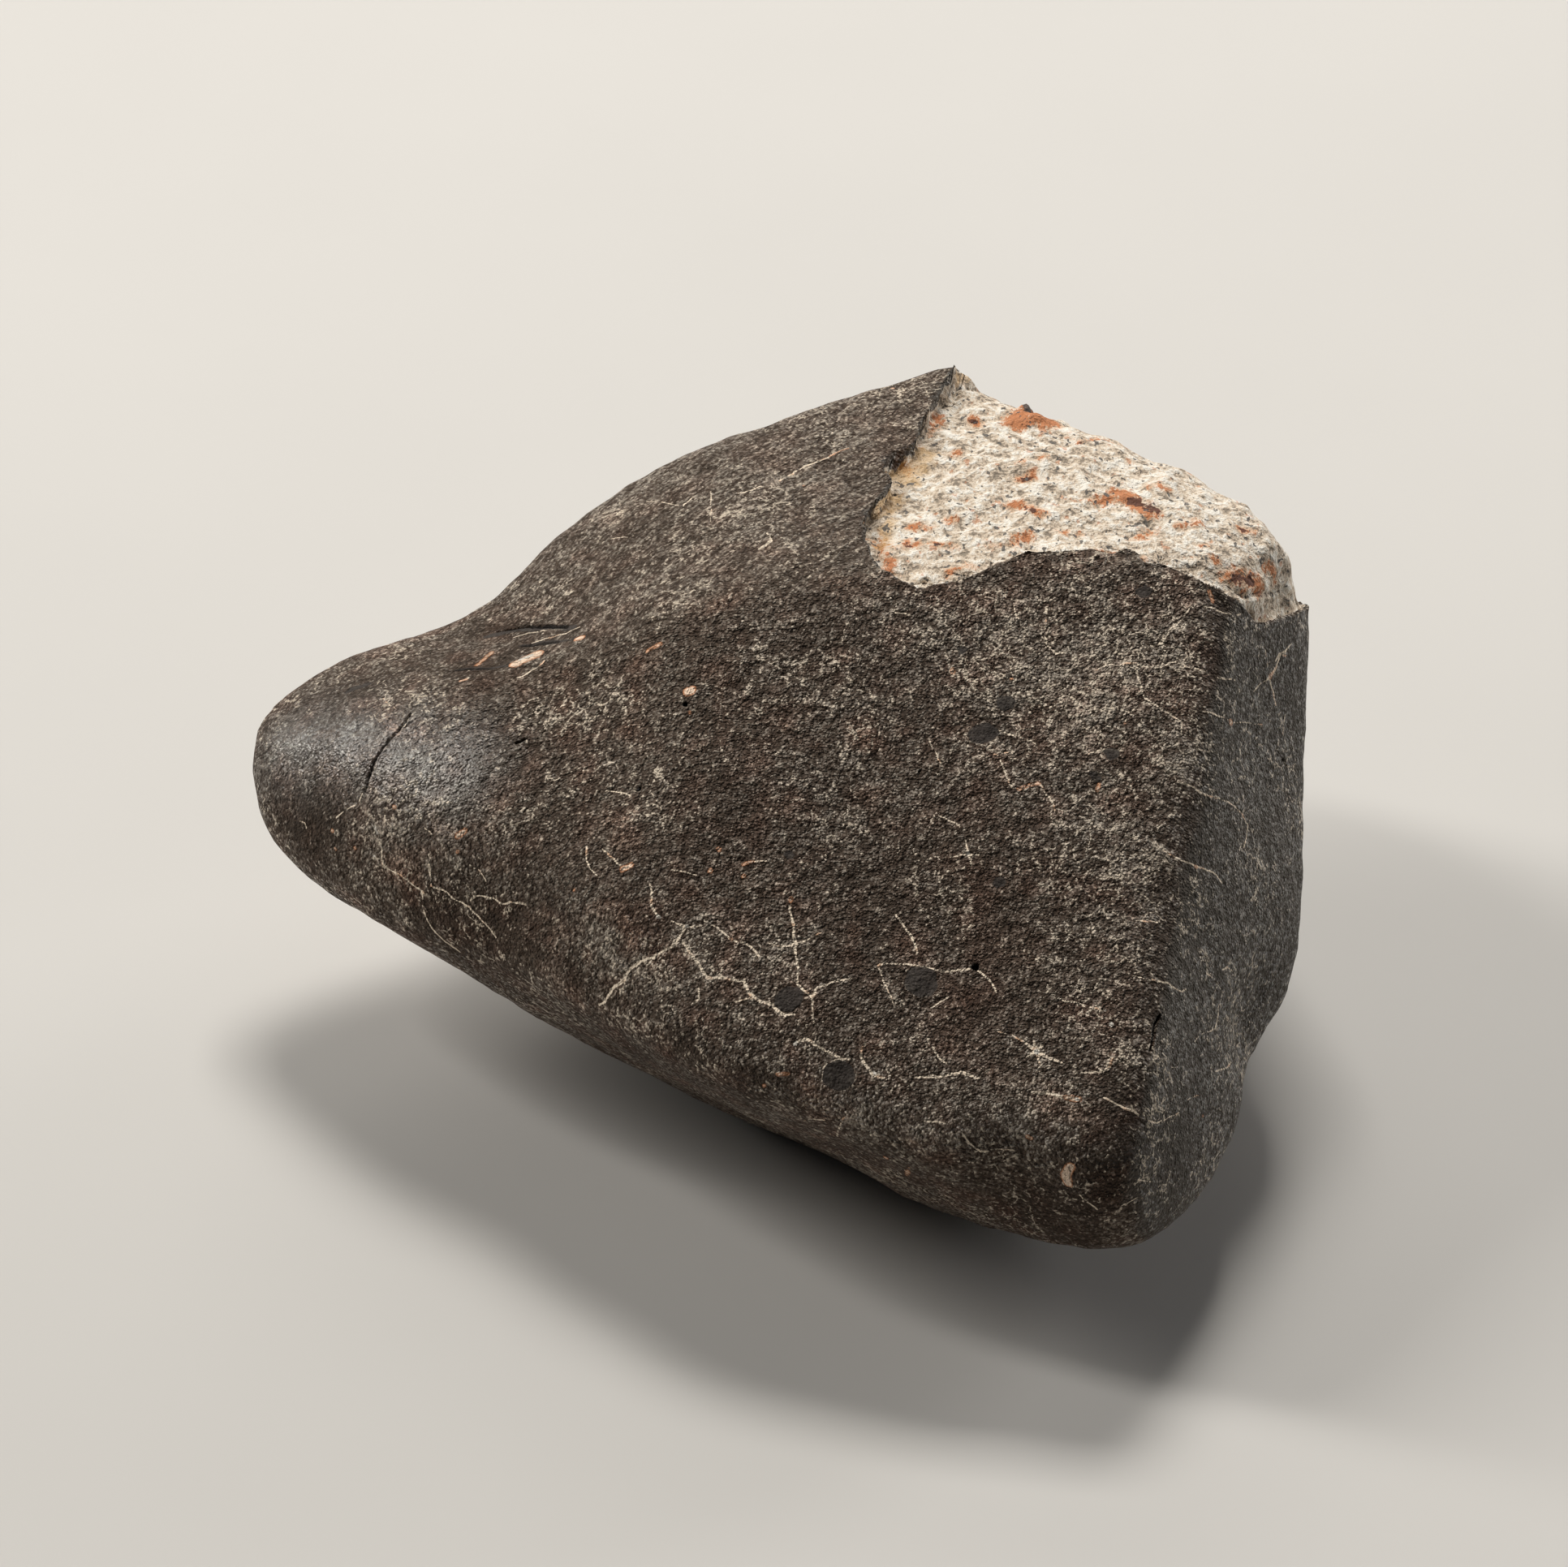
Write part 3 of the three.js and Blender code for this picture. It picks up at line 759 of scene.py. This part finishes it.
def crust_tones(packed, points, normals):
    """Slow changes of the crust: paler or darker, partly as painted light and shade, dense net,
    red, the glossy skin with its painted highlight, and the two streaked slopes, the right-hand one
    with a painted sheen.
    """
    back = ease(normals[:, 1], -0.22, 0.02) * ease(normals[:, 2], 0.2, 0.5)
    back *= ease(points[:, 0], -20 * MM, -10 * MM)
    sheen_side = ease(normals[:, 0], 0.45, 0.75)
    slow = noise_at(points, 5.0 * MM, 21)
    medium = noise_at(points, 1.7 * MM, 22)
    # The pale and dark areas paint light and shade into the tone, as well as the crust's own paler
    # and darker patches.
    tone = area_at(packed, points, PALE_AND_LIT_AREAS) - area_at(packed, points, DARK_AND_SHADED_AREAS)
    # The right-hand side is made paler here as a painted sheen.
    tone += 0.35 * slow + 0.35 * medium + BACK_TONE * back + SIDE_SHEEN_TONE * sheen_side
    some_net = 0.25 + 0.8 * noise_at(points, 4.5 * MM, 23)
    net = np.maximum(area_at(packed, points, NET_AREAS), some_net)
    mottle = 0.9 * noise_at(points, 2.2 * MM, 24) + 0.6 * noise_at(points, 0.9 * MM, 25)
    red = np.maximum(area_at(packed, points, RED_AREAS) * (0.7 + mottle), 0.10 + mottle)
    return {
        "tone": np.clip(tone, -1.4, 1.2),
        "net": np.clip(net, 0, 1),
        "red": np.clip(red, 0, 1) * (1 - 0.8 * sheen_side) * (1 - 0.5 * back),
        "gloss_and_highlight": area_at(packed, points, GLOSS_AND_HIGHLIGHT_AREAS),
        "back": back,
        "sheen_side": sheen_side,
    }


def table_of(items, name, width, kind):
    """What each of the mesh's items holds under this name, a row for each."""
    values = np.empty(len(items) * width, kind)
    items.foreach_get(name, values)
    return values.reshape(-1, width)


def dress_stone(packed, kinds, fine):
    """The finished piece: its mesh with the relief, and the marks as attributes in mm."""
    mesh = bpy.data.meshes.new("meteorite_stone_fine")
    fine.mesh.to_mesh(mesh)
    points = table_of(mesh.vertices, "co", 3, float)
    edges = table_of(mesh.edges, "vertices", 2, int)
    triangles = table_of(mesh.polygons, "vertices", 3, int)

    depth = edge_depths(packed, points, fine.zones)
    layers = {name: np.array([kind.depth_at(p) for p in points]) for name, kind in kinds.items()}
    points = smoothed(points, edges, fine.zones)
    points = lay_relief(packed, points, triangles, depth, layers["hole"], layers["fleck"])
    tones = crust_tones(packed, points, corner_normals(points, triangles))
    mesh.vertices.foreach_set("co", points.ravel())
    layers["edge"] = depth
    layers = {name: values / MM for name, values in layers.items()} | tones
    for name, values in layers.items():
        layer = mesh.attributes.new(name, "FLOAT", "POINT")
        layer.data.foreach_set("value", values.astype(np.float32))
    mesh.shade_smooth()
    mesh.update()
    piece = bpy.data.objects.new("meteorite_stone_fine", mesh)
    bpy.context.scene.collection.objects.link(piece)
    return piece


# ------------ the stone's material

# Colours, as red, green and blue in linear light.
CRUST_PIT_SHADE = (0.040, 0.024, 0.013)
CRUST_DARK = (0.080, 0.054, 0.036)
CRUST_BROWN = (0.122, 0.090, 0.065)
CRUST_PALE = (0.205, 0.168, 0.129)
CRUST_SPECK_AND_HIGHLIGHT = (0.46, 0.395, 0.32)
RED_TINT = (1.20, 0.88, 0.76)
SHEEN_GREY_TINT = (0.88, 1.00, 1.14)
SIDE_SHEEN_GREY = (0.108, 0.095, 0.079)
NET = (0.78, 0.67, 0.53)
VEIN = (0.93, 0.79, 0.62)
VEIN_ORANGE = (0.84, 0.54, 0.35)
ORANGE_SPOT = (0.55, 0.23, 0.10)
PALE_SPOT = (0.86, 0.66, 0.50)
WHITE_GRAIN = (0.75, 0.70, 0.62)
SMOOTH_DARK = (0.036, 0.029, 0.025)
HOLE_SHADE_BLACK = (0.006, 0.005, 0.005)
BREAK_SHADE = (0.27, 0.225, 0.175)
BEIGE = (0.61, 0.495, 0.38)
CREAM = (0.75, 0.66, 0.545)
CREAM_WHITE = (0.86, 0.82, 0.745)
FLECK = (0.10, 0.095, 0.09)
RUST_PEACH = (0.72, 0.42, 0.24)
RUST_ORANGE = (0.52, 0.19, 0.07)
RUST_BROWN = (0.10, 0.036, 0.022)
STAIN_YELLOW = (0.62, 0.40, 0.18)

# Gloss. The crust is roughest in its pits, and its finest tops and the glossy skin are smoothest.
SPECULAR_LEVEL = 0.45
CRUST_ROUGHNESS = 0.90
SHINE_SMOOTHS = -0.50
MOST_SHINE = 1.35
BREAK_ROUGHNESS = 0.85
COAT_ROUGHNESS = 0.30
COAT_BUMP = 0.3

# The sizes in mm of the crust's grains, of its rough and its lumpy relief, and of its nets.
GRAIN_SIZE = 0.15
ROUGH_SIZE = 0.30
LUMP_SIZE = 0.90
NET_SIZE = 0.95
NET_WANDER = 0.85
CRACK_SIZE = 5.5


class Shader:
    """Short ways to add nodes to a material."""

    def __init__(self, name):
        self.material = bpy.data.materials.new(name)
        self.material.use_nodes = True
        self.tree = self.material.node_tree
        self.tree.nodes.clear()

    def node(self, kind, sockets=(), **settings):
        """A node with its sockets by name or number, each a value or a socket to link from."""
        made = self.tree.nodes.new("ShaderNode" + kind)
        for name, value in settings.items():
            setattr(made, name, value)
        for name, value in dict(sockets).items():
            if isinstance(value, bpy.types.NodeSocket):
                self.tree.links.new(value, made.inputs[name])
            else:
                made.inputs[name].default_value = value
        return made

    def math(self, operation, a, b=0.0):
        return self.node("Math", {0: a, 1: b}, operation=operation).outputs[0]

    def times(self, a, b):
        return self.math("MULTIPLY", a, b)

    def plus(self, a, b):
        return self.math("ADD", a, b)

    def total(self, first, *terms):
        """The first value plus each other one times its weight."""
        for value, weight in terms:
            first = self.plus(first, self.times(value, weight))
        return first

    def around(self, value):
        """A value from 0 to 1 as one from -0.5 to 0.5."""
        return self.plus(value, -0.5)

    def rest(self, value):
        return self.math("SUBTRACT", 1.0, value)

    def step(self, value, low, high):
        """0 where the value is under low, 1 over high, smooth between. Low may be the higher."""
        sockets = {"Value": value, "From Min": low, "From Max": high}
        return self.node("MapRange", sockets, interpolation_type="SMOOTHSTEP").outputs[0]

    def mix(self, factor, a, b, **settings):
        a, b = (c if isinstance(c, bpy.types.NodeSocket) else (*c, 1) for c in (a, b))
        return self.node("Mix", {0: factor, 6: a, 7: b}, data_type="RGBA", **settings).outputs[2]

    def mark(self, name):
        return self.node("Attribute", attribute_name=name).outputs["Fac"]

    def noise(self, place, length, detail=2.0, seed=0.0, roughness=0.55, distortion=0.0):
        """Noise from 0 to 1 with waves of this length, in mm."""
        moved = self.node("VectorMath", {0: place, 1: (seed, seed * 0.7, seed * 1.3)}).outputs[0]
        sockets = {
            "Vector": moved,
            "Scale": 1 / length,
            "Detail": detail,
            "Roughness": roughness,
            "Distortion": distortion,
        }
        return self.node("TexNoise", sockets).outputs["Fac"]

    def grains(self, place, length):
        """Packed grains of this size: a number for each, and 1 in its middle, lowest at its rim."""
        made = self.node("TexVoronoi", {"Vector": place, "Scale": 1 / length})
        return made.outputs["Color"], self.math("SUBTRACT", 1.0, made.outputs["Distance"])

    def net(self, place, length, wander):
        """How far each place is, in mm, from the lines of a wandering net with cells this long."""
        turns = self.node("TexNoise", {"Vector": place, "Scale": 1.7 / length, "Detail": 2.0})
        sockets = {0: turns.outputs["Color"], 1: (wander, wander, wander), 2: place}
        moved = self.node("VectorMath", sockets, operation="MULTIPLY_ADD").outputs[0]
        sockets = {"Vector": moved, "Scale": 1 / length}
        cells = self.node("TexVoronoi", sockets, feature="DISTANCE_TO_EDGE")
        return self.times(cells.outputs["Distance"], length)

    def ramp(self, value, stops):
        """Colours at these values, and mixed between them."""
        made = self.node("ValToRGB", {0: value})
        band = made.color_ramp
        while len(band.elements) < len(stops):
            band.elements.new(0.5)
        for element, (position, colour) in zip(band.elements, stops):
            element.position = position
            element.color = (*colour, 1)
        return made.outputs[0]

    def threads(self, value, half_width):
        """1 along the lines where the noise crosses its middle, 0 away from them."""
        away = self.math("ABSOLUTE", self.plus(value, -0.5))
        return self.step(away, half_width, half_width * 0.3)

    def tinted(self, factor, colour, tint):
        return self.mix(factor, colour, tint, blend_type="MULTIPLY")

    def stretched(self, place, angles, sizes):
        """The place turned by these angles and divided by these sizes."""
        sockets = {"Vector": place, "Rotation": angles}
        turned = self.node("VectorRotate", sockets, rotation_type="EULER_XYZ")
        sockets = {0: turned.outputs[0], 1: [1 / size for size in sizes]}
        return self.node("VectorMath", sockets, operation="MULTIPLY").outputs[0]


def place_in_mm(shader):
    where = shader.node("TexCoord").outputs["Object"]
    return shader.node("VectorMath", {0: where, "Scale": 1 / MM}, operation="SCALE").outputs[0]


# The turns that lay a texture along the slope behind the ridge and along the right-hand side.
BACK_TURN = (0.0, 0.13, -0.88)
SIDE_TURN = (0.64, 0.0, 1.57)
STREAK = (5.0, 1.0, 1.0)


def crust_colour(s, place):
    """The fusion crust's colour, the height of its finest relief in mm, and its shine."""
    each, dome = s.grains(place, GRAIN_SIZE)
    rough = s.noise(place, ROUGH_SIZE, 2, seed=3, roughness=0.7)
    lumps = s.noise(place, LUMP_SIZE, 2, seed=7)
    grain = s.plus(s.times(rough, 0.50), s.plus(s.times(each, 0.42), 0.04))
    back_streaks = s.noise(s.stretched(place, BACK_TURN, STREAK), 0.30, 1, seed=9)
    side_streaks = s.noise(s.stretched(place, SIDE_TURN, STREAK), 0.25, 1, seed=10)
    back = s.times(s.mark("back"), s.around(back_streaks))
    sheen_side = s.times(s.mark("sheen_side"), s.around(side_streaks))
    streaks = s.times(s.plus(back, sheen_side), 0.7)
    slow = s.plus(s.times(s.around(lumps), 0.25), streaks)
    # Grain rims, low in the relief, are made darker here: painted shade.
    parts = [(slow, 0.7), (s.plus(dome, -0.6), 0.10), (s.mark("tone"), 0.12)]
    # The glossy skin is painted paler here as a highlight, besides being smoother below.
    level = s.total(grain, *parts, (s.plus(s.mark("net"), -0.4), 0.04), (s.mark("gloss_and_highlight"), 0.10))
    # The level follows the relief's height, so the lowest stop paints shade into the pits and the
    # highest paints glints on the tops, over the crust's own dark and pale grains.
    stops = [
        (0.36, CRUST_PIT_SHADE),
        (0.45, CRUST_DARK),
        (0.53, CRUST_BROWN),
        (0.62, CRUST_PALE),
        (0.72, CRUST_SPECK_AND_HIGHLIGHT),
    ]
    colour = s.ramp(level, stops)
    colour = s.tinted(s.mark("red"), colour, RED_TINT)
    # Painted sheen: the right-hand side and the glossy skin are tinted greyer, and the side is
    # mixed towards a pale grey.
    sheen_grey = s.math("MAXIMUM", s.mark("sheen_side"), s.mark("gloss_and_highlight"))
    colour = s.tinted(sheen_grey, colour, SHEEN_GREY_TINT)
    colour = s.mix(s.times(s.mark("sheen_side"), 0.60), colour, SIDE_SHEEN_GREY)

    # A net of fine pale threads, dense in some places.
    threads = s.step(s.net(place, NET_SIZE, NET_WANDER), 0.065, 0.02)
    share = s.plus(s.times(grain, 0.55), s.times(lumps, 0.45))
    broken = s.step(s.plus(share, s.times(s.mark("net"), 0.22)), 0.60, 0.68)
    colour = s.mix(s.times(s.times(threads, broken), 0.80), colour, NET)

    # Wider cracks filled with pale matter, some centimetres long.
    cracks = s.threads(s.noise(place, CRACK_SIZE, 4, seed=61, roughness=0.6), 0.0050)
    colour = s.mix(s.times(s.times(cracks, broken), 0.70), colour, VEIN)

    # The marks that were traced.
    jitter = s.times(s.around(grain), 0.14)
    wide_jitter = s.plus(s.times(s.around(lumps), 0.30), jitter)
    vein = s.step(s.plus(s.mark("vein"), jitter), -0.065, -0.025)
    vein_colour = s.mix(s.step(lumps, 0.56, 0.68), VEIN, VEIN_ORANGE)
    colour = s.mix(vein, colour, vein_colour)
    dark = s.step(s.plus(s.mark("dark"), wide_jitter), -0.03, 0.03)
    colour = s.mix(s.times(dark, 0.92), colour, SMOOTH_DARK)
    spot = s.plus(s.mark("orange"), wide_jitter)
    orange = s.step(spot, -0.07, 0.05)
    spot_colour = s.mix(s.step(spot, 0.0, 0.13), ORANGE_SPOT, PALE_SPOT)
    colour = s.mix(orange, colour, spot_colour)
    white = s.step(s.plus(s.mark("white"), wide_jitter), -0.02, 0.06)
    colour = s.mix(white, colour, WHITE_GRAIN)
    # Painted shade: the sunk holes and cracks are painted black.
    hole = s.step(s.plus(s.mark("hole"), jitter), -0.04, 0.03)
    colour = s.mix(hole, colour, HOLE_SHADE_BLACK)

    height = s.times(s.around(rough), 0.36)
    height = s.total(height, (s.around(lumps), 0.80), (s.around(dome), 0.16), (streaks, 0.10))
    smooth = s.math("MAXIMUM", s.times(dark, 0.75), s.times(s.mark("gloss_and_highlight"), 0.35))
    height = s.times(height, s.rest(smooth))
    shine = s.plus(s.times(s.step(level, 0.42, 0.62), 0.9), s.mark("gloss_and_highlight"))
    shine = s.times(shine, s.rest(s.times(dark, 0.8)))
    return colour, height, shine


def break_colour(s, place):
    """The broken inside's colour, the height of its finest relief in mm, and two noises."""
    long_place = s.stretched(place, (0.0, 0.10, -0.12), (1.0, 1.7, 1.0))
    fine = s.noise(long_place, 0.20, 2, seed=107, roughness=0.7)
    lumps = s.noise(place, 0.75, 3, seed=101, roughness=0.6)
    spots = s.noise(long_place, 0.55, 2, seed=109)
    level = s.plus(lumps, s.times(s.around(fine), 0.60))
    stops = [(0.34, BREAK_SHADE), (0.43, BEIGE), (0.52, CREAM), (0.62, CREAM_WHITE)]
    colour = s.ramp(level, stops)

    # Rust: a peach halo, an orange body and a dark heart, all ragged.
    jitter = s.plus(s.times(s.around(spots), 1.3), s.times(s.around(fine), 0.9))
    rust = s.plus(s.mark("rust"), jitter)
    halo = s.step(rust, -0.38, 0.02)
    body = s.step(s.plus(rust, s.times(s.around(fine), 0.9)), -0.06, 0.14)
    small = s.step(spots, 0.64, 0.70)
    colour = s.mix(s.times(halo, 0.55), colour, RUST_PEACH)
    colour = s.mix(s.times(s.math("MAXIMUM", body, s.times(small, 0.6)), 0.92), colour, RUST_ORANGE)
    stain = s.step(s.plus(s.mark("stain"), jitter), -0.30, 0.25)
    colour = s.mix(s.times(stain, 0.65), colour, STAIN_YELLOW)
    heart = s.step(s.plus(s.mark("heart"), s.times(jitter, 0.8)), -0.10, 0.04)
    colour = s.mix(s.times(heart, 0.95), colour, RUST_BROWN)

    # Dark flecks, small ones everywhere and the traced ones.
    shards = s.noise(long_place, 0.34, 1, seed=113)
    shard = s.step(shards, 0.67, 0.69)
    small_fleck = s.math("MAXIMUM", shard, s.times(s.step(fine, 0.66, 0.72), 0.6))
    traced = s.step(s.plus(s.mark("fleck"), s.times(jitter, 0.45)), -0.02, 0.06)
    fleck = s.math("MAXIMUM", small_fleck, traced)
    colour = s.mix(s.times(fleck, 0.90), colour, FLECK)

    height = s.plus(s.times(lumps, 0.46), s.times(fine, 0.16))
    height = s.math("SUBTRACT", height, s.times(fleck, 0.05))
    return colour, height, lumps, fine


def stone_material():
    s = Shader("stone")
    place = place_in_mm(s)
    crust, crust_height, shine = crust_colour(s, place)
    inside, inside_height, lumps, fine = break_colour(s, place)
    ragged = s.plus(s.times(s.around(lumps), 0.35), s.times(s.around(fine), 0.25))
    broken = s.step(s.plus(s.mark("edge"), ragged), -0.03, 0.05)
    colour = s.mix(broken, crust, inside)
    height = s.node("Mix", {0: broken, 2: crust_height, 3: inside_height}).outputs[0]
    bump = s.node("Bump", {"Height": height, "Distance": 1 * MM, "Strength": 1.0})
    flat = s.node("NewGeometry").outputs["Normal"]
    sockets = {0: COAT_BUMP, 4: flat, 5: bump.outputs[0]}
    soft = s.node("Mix", sockets, data_type="VECTOR").outputs[1]
    smoother = s.times(s.math("MINIMUM", shine, MOST_SHINE), SHINE_SMOOTHS)
    crust_rough = s.plus(smoother, CRUST_ROUGHNESS)
    rough = s.node("Mix", {0: broken, 2: crust_rough, 3: BREAK_ROUGHNESS}).outputs[0]
    sockets = {
        "Base Color": colour,
        "Roughness": rough,
        "Specular IOR Level": SPECULAR_LEVEL,
        "Coat Weight": s.times(s.mark("gloss_and_highlight"), s.math("MINIMUM", shine, 1.0)),
        "Coat Roughness": COAT_ROUGHNESS,
        "Coat Normal": soft,
        "Normal": bump.outputs[0],
    }
    shader = s.node("BsdfPrincipled", sockets)
    s.node("OutputMaterial", {"Surface": shader.outputs[0]})
    return s.material


# ------------ floor, light and view

FLOOR_SIZE = 3.0
FLOOR_COLOUR = (0.70, 0.69, 0.67)

# Soft lamps, a metre from the stone: the compass angle from the back, clockwise, and the height
# angle in degrees, then the width and height in metres, the power in watts and the colour.
LAMPS = {
    "strip_left": ((-76, 33), (0.12, 0.60), 6.0, (1.0, 0.96, 0.90)),
    "softbox_behind": ((-12, 30), (0.60, 0.35), 1.9, (1.0, 0.96, 0.90)),
    "softbox_above": ((-6, 54), (0.30, 0.22), 6.4, (1.0, 0.96, 0.90)),
    "softbox_right": ((46, 14), (0.30, 0.40), 3.2, (1.0, 0.97, 0.94)),
}
SKY = (0.03, 0.03, 0.03)


def make_floor():
    s = Shader("floor")
    place = place_in_mm(s)
    tone = s.step(s.noise(place, 40.0, 3), 0.2, 0.8)
    colour = s.mix(tone, FLOOR_COLOUR, [c * 0.97 for c in FLOOR_COLOUR])
    shader = s.node("BsdfPrincipled", {"Base Color": colour, "Roughness": 0.9})
    s.node("OutputMaterial", {"Surface": shader.outputs[0]})
    mesh = bpy.data.meshes.new("floor")
    half = FLOOR_SIZE / 2
    corners = [(-half, -half, 0), (half, -half, 0), (half, half, 0), (-half, half, 0)]
    mesh.from_pydata(corners, [], [(0, 1, 2, 3)])
    mesh.materials.append(s.material)
    floor = bpy.data.objects.new("floor", mesh)
    bpy.context.scene.collection.objects.link(floor)


def make_lamps():
    for name, ((round_angle, height_angle), size, power, colour) in LAMPS.items():
        data = bpy.data.lights.new(name, "AREA")
        data.shape = "RECTANGLE"
        data.size, data.size_y = size
        data.energy = power
        data.color = colour
        lamp = bpy.data.objects.new(name, data)
        round_angle, height_angle = math.radians(round_angle), math.radians(height_angle)
        level = math.cos(height_angle)
        across, ahead = math.sin(round_angle) * level, math.cos(round_angle) * level
        place = (across, ahead, math.sin(height_angle))
        lamp.location = place
        lamp.rotation_euler = (-Vector(place)).to_track_quat("-Z", "Y").to_euler()
        bpy.context.scene.collection.objects.link(lamp)
    world = bpy.data.worlds.new("sky")
    world.use_nodes = True
    world.node_tree.nodes["Background"].inputs["Color"].default_value = (*SKY, 1)
    bpy.context.scene.world = world
    bpy.context.scene.view_settings.view_transform = "Standard"


make_camera()
make_lamps()
make_floor()
stone = PackedStone(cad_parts["meteorite_stone"])
kinds = {
    "vein": Marks(VEINS, stone, MARK_WANDER),
    "orange": Marks(ORANGE, stone),
    "white": Marks(WHITE, stone),
    "dark": Marks(DARK, stone),
    "hole": Marks(HOLES, stone, MARK_WANDER / 2),
    "rust": Marks(RUST, stone),
    "heart": Marks(RUST_HEART, stone),
    "stain": Marks(STAIN, stone),
    "fleck": Marks(FLECKS, stone),
}
fine = FineStone(stone, [(kinds[name], step) for name, step in FINE_KINDS.items()])
piece = dress_stone(stone, kinds, fine)
piece.data.materials.append(stone_material())
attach(piece, "root")
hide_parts("meteorite_stone")
